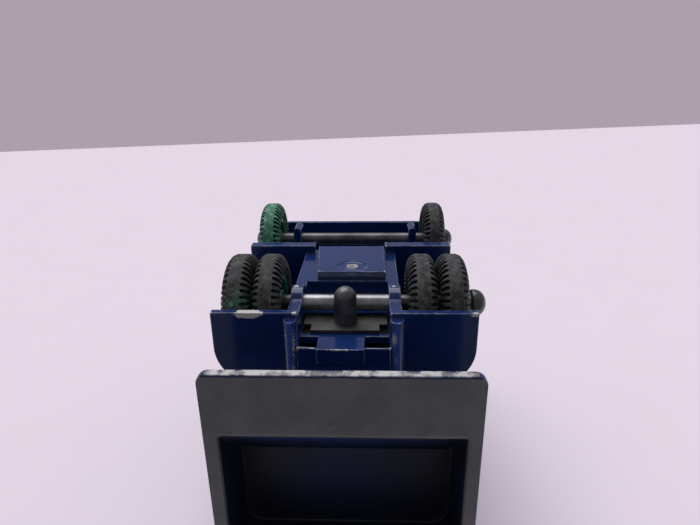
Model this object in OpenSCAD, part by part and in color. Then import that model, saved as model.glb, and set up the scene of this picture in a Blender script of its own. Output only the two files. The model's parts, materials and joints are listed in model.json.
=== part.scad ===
// Toy site dumper, die-cast: forward tipping skip, twin front wheels, single rear wheels.
// Millimetres, +Z up, forward is -Y. The origin is on the ground, on the centre plane,
// midway between the axles. The skip is drawn tipped forward, against its stop.

/* [Wheels] */
// Outside diameter of every tyre
tyre_d = 20; // [18:0.5:22]
// Width of every tyre
tyre_w = 5.7; // [5:0.1:6]
// Blocks round one shoulder of the tread
tread_blocks = 48; // [30:1:56]
// Depth of the gaps between the tread blocks
tread_depth = 0.7; // [0.4:0.1:1]
// Diameter of the wheel rim that the tyre sits on
rim_d = 11.6; // [10:0.2:12.6]
// Width of the wheel rim
rim_w = 4.2; // [3.6:0.1:4.6]
// Distance between the front and rear axles
wheelbase = 42; // [40:1:48]
// Distance between the middles of the two outer front wheels
front_track = 42.1; // [41:0.1:43]
// Distance between the middles of the two rear wheels
rear_track = 43.8; // [43:0.1:46]
// Gap between the two tyres of a twin wheel
twin_gap = 0.3; // [0.25:0.05:0.5]

/* [Axles] */
// Diameter of the axle rods
axle_d = 3.4; // [2.6:0.1:3.6]
// Diameter of the domed axle ends
axle_head_d = 5.5; // [4.6:0.1:6]
// Height of the domed axle ends
axle_head_h = 3; // [2:0.1:3.4]
// Sideways play of the front axle
front_play = 2.4; // [0.5:0.1:3]
// Sideways play of the rear axle
rear_play = 0.8; // [0.5:0.1:3]
// Radial clearance of the wheels on the axles
run_clear = 0.05; // [0.03:0.01:0.08]

/* [Chassis] */
// Width over the mudguards
body_w = 49.2; // [47:0.2:50]
// Thickness of the cast walls
wall = 1.4; // [1:0.1:1.8]
// Radius of the mudguards' shoulders
shoulder_r = 8; // [5:0.5:9]
// Height of the casting's lowest faces over the ground
under_z = 6; // [5:0.1:7]
// Height of the front mudguard plates' lower edges over the ground
guard_z = 6.6; // [6:0.1:8]
// Room between the front tyres and the casting round them
arch_clear = 0.5; // [0.4:0.1:1]
// Distance from the front axle back to the rear face of the front box
box_back = 27; // [25:0.5:28]
// Thickness of the front box's rear plate
flap_t = 2.8; // [1.4:0.1:3]
// Distance between the two chassis rails
rail_gap = 17.2; // [16:0.2:17.6]
// Thickness of each rail
rail_t = 2.4; // [2:0.1:3]
// Height of the ceiling between the rails above the axles' centre line
ceiling_z = 3; // [2.6:0.1:4]
// Width of the tongue at the front of the ceiling
tongue_w = 8.9; // [7:0.1:10]
// How far the tongue lies off the centre plane, towards +X
tongue_off = 0.6; // [0:0.1:1]
// Width of the sump at its front
sump_w = 14.6; // [12:0.2:15]
// How far the sump lies off the centre plane, towards -X
sump_off = 0.9; // [0:0.1:0.9]
// Distance from the front axle back to the sump's front face
sump_back = 7; // [6:0.2:9]
// Distance between the middles of the ears that carry the rear axle
ear_pitch = 31.4; // [29:0.2:32]
// How far those ears lie off the centre plane, towards -X
ear_off = 0.7; // [0:0.1:0.8]
// Thickness of those ears
ear_t = 2.1; // [1.8:0.1:2.6]
// Width of the rear wall
rear_w = 43; // [38:0.2:45]

/* [Skip] */
// Width of the skip over its rim
skip_w = 48; // [45:0.5:49]
// Length of the skip over its rim, lip included
skip_l = 48; // [44:0.5:50]
// Length of the flat pouring lip
lip_l = 12; // [9:0.5:13]
// Inside depth of the skip
skip_depth = 14; // [12:0.5:15]
// Thickness of the skip's walls
skip_wall = 1.7; // [1.3:0.1:2]
// Width of the skip's rim
skip_rim = 2.4; // [2:0.1:3]
// Radius of the skip's upright inside corners
skip_corner_r = 4; // [2:0.5:6]
// Distance from the front axle forward to the tipped skip's mouth
mouth_ahead = 25; // [24:0.5:28]
// Height of the tipped skip's lip over the ground
lip_z = 11.4; // [10:0.2:13]
// Height of the skip's pivot
pivot_z = 30; // [29:0.2:31]
// Diameter of the pivot pin
pivot_d = 2; // [1.6:0.1:2.4]

/* [Driver's place] */
// Width of the bonnet
bonnet_w = 23; // [18:0.5:26]
// Length of the bonnet
bonnet_l = 17; // [14:0.5:18]
// Height of the bonnet over the deck
bonnet_h = 13.5; // [11:0.5:16]
// Louvres on one side of the bonnet
louvres = 5; // [3:1:6]
// Bars of the radiator grille
grille_bars = 7; // [5:1:9]
// Width of the seat
seat_w = 13; // [10:0.5:15]
// Diameter of the steering wheel
steer_d = 10; // [8:0.5:11]
// Lean of the steering column
steer_lean = 24; // [15:1:30]

/* [Hidden] */
$fn = 48;
// Gap between faces that move past each other
slip = 0.3;
// Gap between a wheel's hub and the axle head that stops it
head_gap = 0.15;
// Overlap that makes cuts clean
eps = 0.1;

// Chassis details: rails, nose, tongue, ledges, sump, stop bar, scuttle, ears and rear wall
rail_proud = 0.6;
axle_boss_d = 7.2;
nose_proud = 1.6;
nose_lip = 0.5;
tongue_proud = 0.4;
tongue_h = 3;
notch_deep = 3;
notch_h = 5;
ledge_step = 0.4;
ledge_lift = 2;
shelf_lift = 5;
shelf_l = 3.6;
sump_short = 3;
sump_flare = 1.2;
nose_lift = 1.1;
stop_drop = 2.4;
wing_l = 5;
wing_drop = 2.6;
ear_l = 6;
ear_r = 1;
rear_clear = 0.4;
rear_lift = 2.2;
rear_corner_r = 2.4;

axle_z = tyre_d / 2;
roof_z = axle_z + ceiling_z;
deck_under = tyre_d + arch_clear + eps;
deck_z = deck_under + wall;
box_ahead = tyre_d / 2 + arch_clear + eps + wall;
outer_x = front_track / 2;
rear_x = rear_track / 2;
inner_x = outer_x - tyre_w - twin_gap;
rail_in = rail_gap / 2;
rail_out = rail_in + rail_t;
arch_r = tyre_d / 2 + arch_clear;
ledge_z = under_z + ledge_lift;
shelf_z = under_z + shelf_lift;
skirt_z = axle_z;
nose_z = guard_z + nose_lift;
nose_ahead = box_ahead + nose_proud;
rear_in = wheelbase + tyre_d / 2 + rear_clear;
rear_z = under_z + rear_lift;
frame_w = 2 * (rear_x - tyre_w / 2 - arch_clear);

// Hub: sizes along the axle from the middle of the tyre, outwards positive
boss_face = 1.7;
boss_back = 2;
boss_d = 5.2;
web_t = 1.4;
rim_t = 1;
hub_bore_d = axle_d + 2 * run_clear;
head_flat = 0.8;

// Tyre section, and the share of a tread pitch that a block fills
band_w = 2.4;
bead_h = 0.9;
side_h = 2.2;
side_bulge = 0.3;
edge_h = 0.9;
crown_drop = 0.15;
block_share = 0.6;

// Skip, in its own sense: along runs from the lip's edge, down from the mouth
lip_t = 1.8;
lug_wall = 1.3;
lug_clear = 0.5;
rest_in = 2.2;
floor_down = skip_depth + skip_wall;
slope_cut = skip_wall * sqrt(2);
pivot_along = pivot_z - lip_z;
lug_r = pivot_d / 2 + lug_wall;
// The pivot lies this far behind the slope's outer face
lug_reach = lug_r + lug_clear;
pivot_down = pivot_along - lip_l + slope_cut + lug_reach * sqrt(2);
pivot_ahead = mouth_ahead - pivot_down;
lug_out = rail_in - slip;
lug_t = 2.4;
post_out = rail_out;
rest_z = pivot_z + pivot_down - floor_down;
rest_ahead = pivot_ahead + pivot_along - skip_l + rest_in;
lug_spread = 3.4;
lug_sink = 0.8;
tail_l = 5;
lip_corner_r = 2;
pin_head_d = pivot_d + 1.2;
pin_head_h = 0.6;
stop_face = pivot_ahead - lug_r;

// Underside pieces
plate_t = 0.8;
plate_back = 0.2;
plate_l = 7.7;
plate_w = rail_gap - 2 * slip;
plate_notch_w = 1.6;
plate_notch_l = 2.6;
stud_d = 4.5;
stud_ahead = 4;
stud_proud = 1.2;
stud_end_z = under_z - stud_proud;
spigot_d = 2;
rivet_d = 6.6;
rivet_in = 3.6;
rivet_back = sump_back + rivet_in;
rivet_sunk = 0.12;
rivet_head_h = 0.8;
rivet_z = under_z + rivet_sunk;
rivet_top = roof_z - 1;
rivet_shank_d = 2.4;
dimple_r = 1.2;

// Driver's place
scuttle_w = 26;
seat_base_h = 4;
seat_t = 1.4;
seat_l = 9;
seat_rise = 7.5;
seat_inset = 1.2;
seat_r = 2.5;
// Gap between the seat and the bonnet behind it
seat_gap = 0.4;
bonnet_r = 3;
bonnet_edge = 2;
slot_w = 1;
slot_deep = 0.6;
bar_w = 0.9;
bonnet_back = rear_in + wall;
seat_back = bonnet_back - bonnet_l - seat_gap - seat_l;
column_d = 1.7;
column_l = 14;
column_in = 7;
column_back = box_back - column_in;
column_root = 0.2;
steer_rim_d = 1.5;
steer_hub_d = 3.3;
steer_hub_h = 1.6;
spoke_w = 1;
spoke_t = 0.7;

// Place along Y of a point that lies ahead of the front axle
function fwd(ahead) = -wheelbase / 2 - ahead;

// Box from x0 to x1, from back to ahead of the front axle, and from z0 to z1
module block(x0, x1, back, ahead, z0, z1) {
    translate([x0, fwd(ahead), z0]) cube([x1 - x0, ahead - back, z1 - z0]);
}

// Box on both sides of the centre plane
module pair(x0, x1, back, ahead, z0, z1) {
    block(x0, x1, back, ahead, z0, z1);
    block(-x1, -x0, back, ahead, z0, z1);
}

// Cylinder along X, through a point ahead of the front axle
module cross_rod(x0, x1, ahead, z, d) {
    translate([x0, fwd(ahead), z]) rotate([0, 90, 0]) cylinder(d = d, h = x1 - x0);
}

// Rectangle on the X axis with both upper corners rounded
module round_top(w, h, r) {
    translate([-w / 2, 0]) square([w, h - r]);
    translate([r - w / 2, 0]) square([w - 2 * r, h]);
    for (side = [-1, 1]) translate([side * (w / 2 - r), h - r]) circle(r);
}

// A profile drawn in X and Z, drawn out between two places along the length
module along_length(back, ahead, z0) {
    translate([0, fwd(back), z0]) rotate([90, 0, 0]) linear_extrude(ahead - back) children();
}

// A profile drawn as [ahead, z], drawn out between two places across the width
module across_width(x0, x1) {
    translate([x0, 0, 0]) rotate([90, 0, 90]) linear_extrude(x1 - x0)
        translate([-wheelbase / 2, 0]) mirror([1, 0]) children();
}

// Chassis

module front_box() {
    inner_w = body_w - 2 * wall;
    box_h = deck_z - under_z;
    difference() {
        along_length(-box_back, box_ahead, under_z) round_top(body_w, box_h, shoulder_r);
        along_length(-box_back + flap_t, box_ahead - wall, under_z - eps)
            round_top(inner_w, box_h - wall + eps, shoulder_r - wall);
        cross_rod(-body_w, body_w, 0, axle_z, 2 * arch_r);
        block(-body_w, body_w, -arch_r, arch_r, 0, axle_z);
        block(-body_w, body_w, -box_back + flap_t, 0, 0, skirt_z);
        block(-rail_in, rail_in, -box_back - eps, box_ahead + eps, 0, roof_z);
        block(-rail_in, rail_in, box_ahead - notch_deep, box_ahead + eps, 0, roof_z + notch_h);
        block(-body_w, body_w, 0, box_ahead + eps, 0, guard_z);
    }
}

// Rails with the bosses that carry the front axle
module rails() {
    top_z = deck_z - eps;
    nose = box_ahead + rail_proud;
    pair(rail_in, rail_out, -box_back + eps, nose, ledge_z, top_z);
    pair(rail_in, rail_out, box_ahead - wall, nose, nose_z, top_z);
    for (side = [0, 1]) mirror([side, 0, 0]) {
        cross_rod(rail_in, rail_out, 0, axle_z, axle_boss_d);
        translate([(rail_in + rail_out) / 2, fwd(nose), nose_z])
            cylinder(d = rail_t, h = top_z - nose_z);
    }
}

// Nose between the rails: its underside is a thin lip in front of two notches
module nose() {
    side = rail_in + eps;
    difference() {
        block(-side, side, box_ahead - wall - eps, nose_ahead, roof_z, deck_z - eps);
        block(-rail_in, rail_in, box_ahead - notch_deep - eps, nose_ahead - nose_lip, 0, roof_z + notch_h);
    }
    translate([tongue_off, 0, 0])
        block(-tongue_w / 2, tongue_w / 2, 0, nose_ahead + tongue_proud, roof_z, roof_z + tongue_h);
}

// Ceiling between the rails, and the shelf, ledge and sump that step down behind it
module ceiling_and_sump() {
    side = rail_in + eps;
    ledge_ahead = -sump_back + ledge_step;
    block(-side, side, -box_back + wall, box_ahead - notch_deep, roof_z, roof_z + wall);
    block(-side, side, ledge_ahead - eps, ledge_ahead + shelf_l, shelf_z, roof_z + eps);
    block(-side, side, -box_back, ledge_ahead, ledge_z, roof_z + eps);
    translate([-sump_off, 0, under_z]) linear_extrude(ledge_z + eps - under_z) sump_plan();
}

// The sump widens to the back on its +X side
module sump_plan() {
    front_x = sump_w / 2;
    back_x = front_x + sump_flare;
    front_y = fwd(-sump_back);
    back_y = fwd(-box_back + sump_short);
    polygon([[-front_x, front_y], [front_x, front_y], [back_x, back_y], [-front_x, back_y]]);
}

// Posts that carry the skip's pivot, and the bar between them that stops the tail
module pivot_posts() {
    for (side = [0, 1]) mirror([side, 0, 0]) {
        cross_rod(rail_in, post_out, pivot_ahead, pivot_z, 2 * lug_r);
        block(rail_in, post_out, pivot_ahead - lug_r, pivot_ahead + lug_r, deck_z - wall, pivot_z);
    }
    block(-rail_in - eps, rail_in + eps, stop_face - wall - slip, stop_face - slip,
          deck_z - eps, pivot_z - stop_drop);
}

// Cross wall that the carrying skip rests on
module scuttle() {
    block(-scuttle_w / 2, scuttle_w / 2, rest_ahead - wall, rest_ahead, deck_z - eps, rest_z - slip);
    for (side = [0, 1]) mirror([side, 0, 0])
        block(scuttle_w / 2 - wall, scuttle_w / 2, rest_ahead - wing_l, rest_ahead,
              deck_z - eps, rest_z - wing_drop);
}

// Rear deck with the two ears of the rear axle, closed by the rear wall
module rear_frame() {
    block(-frame_w / 2, frame_w / 2, -rear_in - eps, -box_back + eps, deck_under, deck_z);
    for (side = [-1, 1]) translate([side * ear_pitch / 2 - ear_off, 0, 0])
        along_length(-wheelbase - ear_l / 2, -wheelbase + ear_l / 2, deck_under + eps)
            mirror([0, 1]) round_top(ear_t, deck_under + eps - under_z, ear_r);
    along_length(-rear_in - wall, -rear_in, deck_z)
        mirror([0, 1]) round_top(rear_w, deck_z - rear_z, rear_corner_r);
}

module chassis() {
    color("darkblue") difference() {
        union() {
            front_box();
            rails();
            nose();
            ceiling_and_sump();
            pivot_posts();
            scuttle();
            rear_frame();
        }
        cross_rod(-body_w, body_w, 0, axle_z, hub_bore_d);
        cross_rod(-body_w, body_w, -wheelbase, axle_z, hub_bore_d);
        cross_rod(-body_w, body_w, pivot_ahead, pivot_z, pivot_d);
        translate([0, fwd(stud_ahead), roof_z - eps]) cylinder(d = spigot_d, h = wall + 2 * eps);
        translate([-sump_off, fwd(-rivet_back), 0]) {
            cylinder(d = rivet_d, h = rivet_z + rivet_head_h);
            cylinder(d = rivet_shank_d, h = rivet_top);
        }
        translate([0, fwd(-column_back), deck_under - eps])
            cylinder(d = column_d, h = wall + 2 * eps);
    }
}

// Driver's place

module bonnet() {
    color("darkblue") difference() {
        along_length(-bonnet_back, -bonnet_back + bonnet_l, deck_z)
            round_top(bonnet_w, bonnet_h, bonnet_r);
        along_length(-bonnet_back + wall, -bonnet_back + bonnet_l - wall, deck_z - eps)
            round_top(bonnet_w - 2 * wall, bonnet_h - wall + eps, bonnet_r - wall);
        louvre_slots();
        grille_slots();
    }
}

// Upright slots in both sides of the bonnet
module louvre_slots() {
    pitch = (bonnet_l - 2 * bonnet_edge) / louvres;
    first = -bonnet_back + bonnet_edge + pitch / 2;
    for (i = [0 : louvres - 1], side = [-1, 1])
        translate([side * bonnet_w / 2 - slot_deep, fwd(first + i * pitch) - slot_w / 2,
                   deck_z + bonnet_edge])
            cube([2 * slot_deep, slot_w, bonnet_h - 2 * bonnet_edge - bonnet_r]);
}

// Upright slots in the rear end, which leave the grille's bars standing
module grille_slots() {
    pitch = (bonnet_w - 2 * bonnet_r) / grille_bars;
    gap_w = pitch - bar_w;
    for (i = [0 : grille_bars - 1])
        translate([(i + 0.5) * pitch - bonnet_w / 2 + bonnet_r - gap_w / 2,
                   fwd(-bonnet_back) - slot_deep, deck_z + bonnet_edge])
            cube([gap_w, 2 * slot_deep, bonnet_h - bonnet_edge - bonnet_r]);
}

module seat() {
    pad_z = deck_z + seat_base_h;
    end = -seat_back - seat_l;
    color("darkblue") {
        block(seat_inset - seat_w / 2, seat_w / 2 - seat_inset, end + seat_inset, -seat_back - seat_inset,
              deck_z, pad_z + eps);
        block(-seat_w / 2, seat_w / 2, end, -seat_back, pad_z, pad_z + seat_t);
        along_length(end, end + seat_t, pad_z) round_top(seat_w, seat_rise + seat_t, seat_r);
    }
}

// Everything on the steering column is drawn upright at its foot, then leant back
module on_column() {
    translate([0, fwd(-column_back), deck_z]) rotate([-steer_lean, 0, 0]) children();
}

module steering_column() {
    color("silver") {
        on_column() cylinder(d = column_d, h = column_l);
        translate([0, fwd(-column_back), deck_under]) cylinder(d = column_d, h = wall + column_root);
    }
}

module steering_wheel() {
    ring_r = (steer_d - steer_rim_d) / 2;
    color("dimgray") on_column() translate([0, 0, column_l]) difference() {
        union() {
            rotate_extrude() translate([ring_r, 0]) circle(d = steer_rim_d);
            translate([0, 0, -steer_hub_h / 2]) cylinder(d = steer_hub_d, h = steer_hub_h);
            for (turn = [90, 210, 330]) rotate([0, 0, turn])
                translate([0, -spoke_w / 2, -spoke_t / 2]) cube([ring_r, spoke_w, spoke_t]);
        }
        translate([0, 0, -steer_hub_h]) cylinder(d = column_d + 2 * run_clear, h = steer_hub_h + run_clear);
    }
}

// Skip

// Points of the skip are given as [along, down] and set in the tipped place
function tipped(p) = [mouth_ahead - p[1], lip_z + p[0]];

// Space under a sloped front, from a start along the lip to a back wall, to a depth
module slope_side(start, back, down, over) {
    polygon([for (p = [[start - over, -over], [start + down, down], [back, down], [back, -over]]) tipped(p)]);
}

// Plan of the skip, in X and along, with rounded corners at the back
module skip_plan(w, back, r, from, to) {
    translate([0, fwd(from), lip_z]) rotate([90, 0, 0]) linear_extrude(to - from) round_top(w, back, r);
}

// Lug on the slope's outer face, with a tail that meets the stop bar
module skip_lug() {
    step = lug_reach / sqrt(2);
    root = [pivot_along + step, pivot_down - step];
    along_slope = lug_spread * [1, 1];
    into_slope = lug_sink * [1, -1];
    difference() {
        across_width(lug_out - lug_t, lug_out) {
            translate(tipped([pivot_along, pivot_down])) circle(lug_r);
            polygon([for (p = [
                [pivot_along - lug_r, pivot_down], [pivot_along, pivot_down + lug_r], root + along_slope,
                root + along_slope + into_slope, root - along_slope + into_slope, root - along_slope
            ]) tipped(p)]);
            polygon([for (p = [
                [pivot_along, pivot_down - lug_r], [pivot_along, pivot_down + lug_r],
                [pivot_along - tail_l, pivot_down + lug_r], [pivot_along - tail_l, pivot_down]
            ]) tipped(p)]);
        }
        cross_rod(0, body_w, pivot_ahead, pivot_z, pivot_d + 2 * run_clear);
    }
}

module skip() {
    inner_w = skip_w - 2 * skip_rim;
    outer_w = inner_w + 2 * skip_wall;
    inner_back = skip_l - skip_rim;
    outer_back = inner_back + skip_wall;
    color("navy") {
        difference() {
            union() {
                intersection() {
                    across_width(-outer_w / 2, outer_w / 2)
                        slope_side(lip_l - slope_cut, outer_back, floor_down, 0);
                    skip_plan(outer_w, outer_back, skip_corner_r + skip_wall,
                              mouth_ahead - floor_down - eps, mouth_ahead);
                }
                skip_plan(skip_w, skip_l, skip_corner_r, mouth_ahead - lip_t, mouth_ahead);
                translate([0, 0, 2 * lip_z + lip_l]) mirror([0, 0, 1])
                    skip_plan(skip_w, lip_l, lip_corner_r, mouth_ahead - lip_t, mouth_ahead);
            }
            intersection() {
                across_width(-inner_w / 2, inner_w / 2)
                    slope_side(lip_l, inner_back, skip_depth, eps);
                skip_plan(inner_w, inner_back, skip_corner_r,
                          mouth_ahead - skip_depth - eps, mouth_ahead + eps);
            }
            skip_lip_corners();
        }
        skip_lug();
        mirror([1, 0, 0]) skip_lug();
    }
}

// What is cut away to round the two corners of the lip's edge
module skip_lip_corners() {
    r = lip_corner_r;
    for (side = [0, 1]) mirror([side, 0, 0])
        translate([skip_w / 2 - r, fwd(mouth_ahead + eps), lip_z])
            difference() {
                translate([0, 0, -eps]) cube([r + eps, lip_t + 2 * eps, r + eps]);
                translate([0, -eps, r]) rotate([-90, 0, 0]) cylinder(r = r, h = lip_t + 4 * eps);
            }
}

module skip_pivot_pin() {
    end = post_out + pin_head_h;
    color("silver") {
        cross_rod(-end, end, pivot_ahead, pivot_z, pivot_d);
        cross_rod(-end, -post_out, pivot_ahead, pivot_z, pin_head_d);
        cross_rod(post_out, end, pivot_ahead, pivot_z, pin_head_d);
    }
}

// Underside pieces

module keeper_plate() {
    front = plate_back + plate_l;
    color("gray") difference() {
        block(-plate_w / 2, plate_w / 2, plate_back, front, roof_z - plate_t, roof_z);
        pair(plate_w / 2 - plate_notch_w, plate_w / 2 + eps, front - plate_notch_l, front + eps,
             roof_z - 2 * plate_t, roof_z + eps);
        translate([0, fwd(stud_ahead), roof_z - 2 * plate_t]) cylinder(d = spigot_d, h = 3 * plate_t);
    }
}

module keeper_stud() {
    dome_r = stud_d / 2;
    color("silver") translate([0, fwd(stud_ahead), 0]) {
        translate([0, 0, stud_end_z + dome_r]) {
            cylinder(d = stud_d, h = roof_z - plate_t - stud_end_z - dome_r);
            cylinder(d = spigot_d, h = roof_z + wall - stud_end_z - dome_r);
            sphere(dome_r);
        }
    }
}

module sump_rivet() {
    color("silver") translate([-sump_off, fwd(-rivet_back), 0]) difference() {
        translate([0, 0, rivet_z]) {
            cylinder(d = rivet_d, h = rivet_head_h);
            cylinder(d = rivet_shank_d, h = rivet_top - rivet_z);
        }
        translate([0, 0, rivet_z]) sphere(dimple_r);
    }
}

// Axles and wheels

// Rod with a domed end on both sides, slid towards -X until a wheel stops it
module axle(x, ahead, play) {
    dome = axle_head_h - head_flat;
    dome_r = (pow(axle_head_d / 2, 2) + dome * dome) / (2 * dome);
    color("silver") translate([-play / 2, fwd(ahead), axle_z]) {
        reach = x + boss_face + head_gap + play / 2;
        translate([-reach, 0, 0]) rotate([0, 90, 0]) cylinder(d = axle_d, h = 2 * reach);
        for (side = [0, 1]) mirror([side, 0, 0]) translate([reach, 0, 0]) rotate([0, 90, 0]) {
            cylinder(d = axle_head_d, h = head_flat);
            intersection() {
                cylinder(d = axle_head_d, h = axle_head_h);
                translate([0, 0, axle_head_h - dome_r]) sphere(dome_r);
            }
        }
    }
}

module front_axle() {
    axle(outer_x, 0, front_play);
}

module rear_axle() {
    axle(rear_x, -wheelbase, rear_play);
}

// Puts a wheel drawn round the Z axis, outer side up, on its axle
module on_axle(side, x, ahead) {
    translate([side * x, fwd(ahead), axle_z]) rotate([0, side * 90, 0]) children();
}

module hub(side, x, ahead) {
    color("seagreen") on_axle(side, x, ahead) difference() {
        union() {
            difference() {
                translate([0, 0, -rim_w / 2]) cylinder(d = rim_d, h = rim_w);
                translate([0, 0, -rim_w]) cylinder(d = rim_d - 2 * rim_t, h = 2 * rim_w);
            }
            translate([0, 0, -web_t / 2]) cylinder(d = rim_d - rim_t, h = web_t);
            translate([0, 0, -boss_back]) cylinder(d = boss_d, h = boss_back + boss_face);
        }
        translate([0, 0, -rim_w]) cylinder(d = hub_bore_d, h = 2 * rim_w);
    }
}

// Half outline of the tyre as [radius, half width], from the bead out to the crown
function tyre_outline(shoulder_drop) = let (crown = tyre_d / 2, half = tyre_w / 2) [
    [rim_d / 2, rim_w / 2], [rim_d / 2 + bead_h, half - side_bulge], [crown - side_h, half],
    [crown - edge_h, half - side_bulge], [crown - shoulder_drop, band_w / 2 + edge_h],
    [crown - crown_drop, band_w / 2], [crown, band_w / 4]
];

module tyre_round(shoulder_drop) {
    half = tyre_outline(shoulder_drop);
    other = [for (i = [len(half) - 1 : -1 : 0]) [half[i][0], -half[i][1]]];
    rotate_extrude() polygon(concat(half, other));
}

// Toothed disc that leaves the shoulder blocks standing
module tread_teeth(turn) {
    pitch = 360 / tread_blocks;
    root_r = tyre_d / 2 - side_h - eps;
    tip_r = tyre_d / 2 + eps;
    corner = [[root_r, -0.5], [tip_r, -0.5], [tip_r, 0.5], [root_r, 0.5]];
    polygon([for (i = [0 : tread_blocks - 1], c = corner)
        let (angle = (i + c[1] * block_share) * pitch + turn) c[0] * [cos(angle), sin(angle)]]);
}

module tyre(side, x, ahead) {
    block_w = (tyre_w - band_w) / 2;
    color("black") on_axle(side, x, ahead) {
        tyre_round(tread_depth);
        intersection() {
            tyre_round(crown_drop + eps);
            union() {
                translate([0, 0, tyre_w / 2 - block_w]) linear_extrude(block_w) tread_teeth(0);
                translate([0, 0, -tyre_w / 2]) linear_extrude(block_w) tread_teeth(180 / tread_blocks);
            }
        }
    }
}

chassis();
bonnet();
seat();
steering_column();
steering_wheel();
skip();
skip_pivot_pin();
keeper_plate();
keeper_stud();
sump_rivet();
front_axle();
rear_axle();
hub(1, outer_x, 0);  // hub_front_left_outer
hub(1, inner_x, 0);  // hub_front_left_inner
hub(-1, inner_x, 0);  // hub_front_right_inner
hub(-1, outer_x, 0);  // hub_front_right_outer
hub(1, rear_x, -wheelbase);  // hub_rear_left
hub(-1, rear_x, -wheelbase);  // hub_rear_right
tyre(1, outer_x, 0);  // tyre_front_left_outer
tyre(1, inner_x, 0);  // tyre_front_left_inner
tyre(-1, inner_x, 0);  // tyre_front_right_inner
tyre(-1, outer_x, 0);  // tyre_front_right_outer
tyre(1, rear_x, -wheelbase);  // tyre_rear_left
tyre(-1, rear_x, -wheelbase);  // tyre_rear_right
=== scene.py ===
# %% [markdown]
# # A die-cast toy site dumper
# The toy is a handful of painted zinc castings, six rubber tyres and a few turned steel pins.
# The photograph shows it lying upside down with its skip tipped forward, so the camera here
# looks up at the underside of a model that stands upright in its own frame.
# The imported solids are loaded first. Everything below is fitted to them, in metres.

import json
import math

import bmesh
import bpy
from mathutils import Matrix, Vector
from mathutils.geometry import delaunay_2d_cdt

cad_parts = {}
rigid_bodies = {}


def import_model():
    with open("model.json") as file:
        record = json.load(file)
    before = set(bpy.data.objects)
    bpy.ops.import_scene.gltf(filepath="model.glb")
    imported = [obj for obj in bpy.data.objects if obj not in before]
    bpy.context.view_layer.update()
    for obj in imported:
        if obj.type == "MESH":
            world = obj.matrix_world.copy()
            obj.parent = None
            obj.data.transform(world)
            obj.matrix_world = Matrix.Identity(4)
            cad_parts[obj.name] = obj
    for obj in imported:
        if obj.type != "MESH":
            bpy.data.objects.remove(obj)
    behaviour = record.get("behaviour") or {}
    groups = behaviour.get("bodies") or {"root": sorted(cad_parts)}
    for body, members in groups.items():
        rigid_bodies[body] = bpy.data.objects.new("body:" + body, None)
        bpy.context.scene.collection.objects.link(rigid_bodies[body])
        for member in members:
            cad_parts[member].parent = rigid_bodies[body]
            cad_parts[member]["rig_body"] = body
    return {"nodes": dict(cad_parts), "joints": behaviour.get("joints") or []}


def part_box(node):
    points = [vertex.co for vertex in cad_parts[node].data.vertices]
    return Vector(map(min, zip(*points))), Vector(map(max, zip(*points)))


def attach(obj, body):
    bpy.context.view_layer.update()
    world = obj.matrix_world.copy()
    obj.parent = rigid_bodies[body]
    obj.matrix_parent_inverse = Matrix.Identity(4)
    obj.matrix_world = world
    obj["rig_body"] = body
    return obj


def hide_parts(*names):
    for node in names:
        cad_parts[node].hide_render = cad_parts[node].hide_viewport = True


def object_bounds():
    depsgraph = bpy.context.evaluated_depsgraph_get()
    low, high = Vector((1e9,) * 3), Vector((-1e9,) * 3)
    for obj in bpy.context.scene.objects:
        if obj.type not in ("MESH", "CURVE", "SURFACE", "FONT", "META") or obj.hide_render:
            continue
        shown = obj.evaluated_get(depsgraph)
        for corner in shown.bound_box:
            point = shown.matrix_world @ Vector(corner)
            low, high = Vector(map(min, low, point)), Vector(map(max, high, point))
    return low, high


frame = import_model()
cad_low, cad_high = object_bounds()
mm = 0.001
joints = {joint["name"]: joint for joint in frame["joints"]}
print("solids loaded:", len(frame["nodes"]), "box in mm:", [round(v / mm, 1) for v in cad_high - cad_low])

# %% [markdown]
# ## The camera
# A photograph fixes its own camera: a dozen known corners of the toy, and where they fall in
# the picture, give the eye point, the lens and the two angles. The camera is upside down in
# the toy's frame, because the toy is upside down in the picture. Its axes are written as the
# three rows right, down and ahead, which is easier to check than three Euler angles.

# %% Camera
IMAGE_W = 700
IMAGE_H = 525
FOCAL_PX = 525.0
SENSOR_MM = 36.0
EYE = Vector((-4.73, -118.86, -35.61)) * mm
PITCH = math.radians(20.64)
YAW = math.radians(2.11)

upside_down = Matrix((
    (-1, 0, 0),
    (0, -math.sin(PITCH), math.cos(PITCH)),
    (0, math.cos(PITCH), math.sin(PITCH)),
))
right, down, ahead = Matrix.Rotation(YAW, 3, "Y") @ upside_down

camera_data = bpy.data.cameras.new("photo_camera")
camera_data.sensor_width = SENSOR_MM
camera_data.lens = SENSOR_MM * FOCAL_PX / IMAGE_W
camera_data.clip_start = 5 * mm
camera = bpy.data.objects.new("photo_camera", camera_data)
camera.matrix_world = Matrix.Translation(EYE) @ Matrix((right, -down, -ahead)).transposed().to_4x4()
bpy.context.scene.collection.objects.link(camera)
bpy.context.scene.camera = camera
print("lens in mm:", camera_data.lens)

# %% [markdown]
# ## Small helpers for node trees
# Shader trees and geometry trees are built the same way: make a node, set its options, then
# give each input a value or the socket that feeds it. One helper does all three, so the
# materials below read as short recipes.

# %% Node helpers
def feed(tree, socket, value):
    if isinstance(value, bpy.types.NodeSocket):
        tree.links.new(value, socket)
    else:
        socket.default_value = value


def add(tree, kind, inputs=None, **options):
    made = tree.nodes.new(kind)
    for name, value in options.items():
        setattr(made, name, value)
    for name, value in (inputs or {}).items():
        feed(tree, made.inputs[name], value)
    return made


def calc(tree, operation, a, b=0.0):
    return add(tree, "ShaderNodeMath", {0: a, 1: b}, operation=operation).outputs[0]


def invert(tree, mask):
    return calc(tree, "SUBTRACT", 1.0, mask)


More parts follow.
